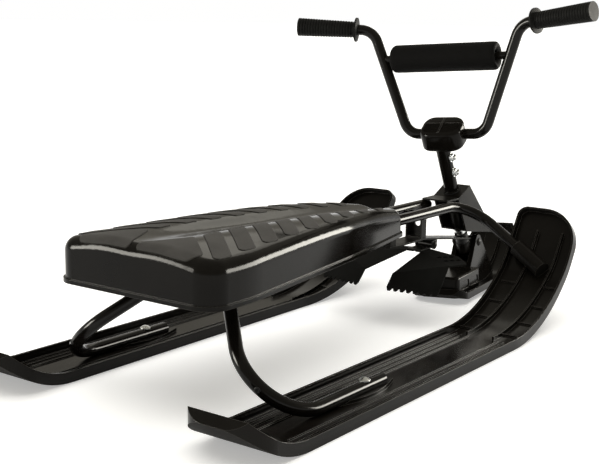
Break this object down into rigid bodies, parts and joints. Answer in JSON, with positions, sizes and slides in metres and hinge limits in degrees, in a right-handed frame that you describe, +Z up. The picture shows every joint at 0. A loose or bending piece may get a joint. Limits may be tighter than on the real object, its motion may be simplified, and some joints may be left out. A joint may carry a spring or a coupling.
{
  "type": "steering sled",
  "caption": "Black steering sled: long side skis under a bent-tube frame, moulded grip-pad seat, handlebar with padded crossbar turning a short front ski, toothed foot brake.",
  "frame": {"origin": "on the snow, in the sled's plane of symmetry, midway along its length", "axes": "+X forward, +Y left, +Z up"},
  "size_m": [1.1433, 0.5563, 0.5335],
  "materials": {
    "ski_plastic": "semi-gloss black moulded plastic",
    "seat_plastic": "glossy black moulded plastic",
    "seat_grip": "matte fine-textured dark grey",
    "black_tube": "gloss black powder coat",
    "black_sheet": "satin black coated steel sheet",
    "zinc": "zinc-plated steel",
    "bush": "black plain-bearing plastic",
    "pad_foam": "matte black fabric over soft foam",
    "grip_rubber": "matte black ribbed rubber"
  },
  "bodies": {
    "frame": {"ski_left": "ski_plastic", "ski_right": "ski_plastic", "frame_tube_left": "black_tube", "frame_tube_right": "black_tube", "leg_tube_left": "black_tube", "leg_tube_right": "black_tube", "tube_spigots": "zinc", "ski_bolts": "zinc", "head_bracket": "black_sheet", "head_tube": "black_sheet", "bush_upper": "bush", "bush_lower": "bush", "lower_strap": "black_sheet", "strap_bush": "bush", "hanger_rear": "black_sheet", "hanger_front": "black_sheet", "brake_bracket": "black_sheet", "brake_axle": "zinc", "seat_shell": "seat_plastic", "seat_pads_left": "seat_grip", "seat_pads_right": "seat_grip", "seat_bracket_rear": "black_sheet", "seat_bracket_front": "black_sheet", "seat_screws": "zinc"},
    "steering": {"steering_shaft": "zinc", "steering_column": "black_tube", "column_screws": "zinc", "thrust_washer": "zinc", "shaft_collar": "zinc", "shaft_sleeve": "zinc", "ski_yoke": "black_sheet", "handlebar": "black_tube", "crossbar": "black_tube", "crossbar_pad": "pad_foam", "grip_left": "grip_rubber", "grip_right": "grip_rubber", "stem_clamp": "black_sheet", "stem_cover_front": "seat_plastic", "stem_cover_rear": "seat_plastic"},
    "front_ski": {"front_ski": "ski_plastic", "pivot_bolt": "zinc", "pivot_nut": "zinc"},
    "brake": {"brake_blade_left": "black_sheet", "brake_blade_right": "black_sheet", "brake_hub": "black_sheet", "brake_rivets": "zinc"}
  },
  "joints": [
    {"name": "steering", "type": "hinge", "parent": "frame", "child": "steering", "pos_m": [0.32644, 0, 0.2054], "axis": [-0.4344, 0, 0.9007], "range_deg": [-48.3, 31.7]},
    {"name": "ski_pitch", "type": "hinge", "parent": "steering", "child": "front_ski", "pos_m": [0.40764, 0.0031, 0.0859], "axis": [-0.13, 0.9895, -0.0627], "range_deg": [-8, 8]},
    {"name": "brake", "type": "hinge", "parent": "frame", "child": "brake", "pos_m": [0.24584, 0, 0.10683], "axis": [0, -1, 0], "range_deg": [0, 20], "stiffness_Nm_per_rad": 2, "springref_deg": -22.92}
  ]
}
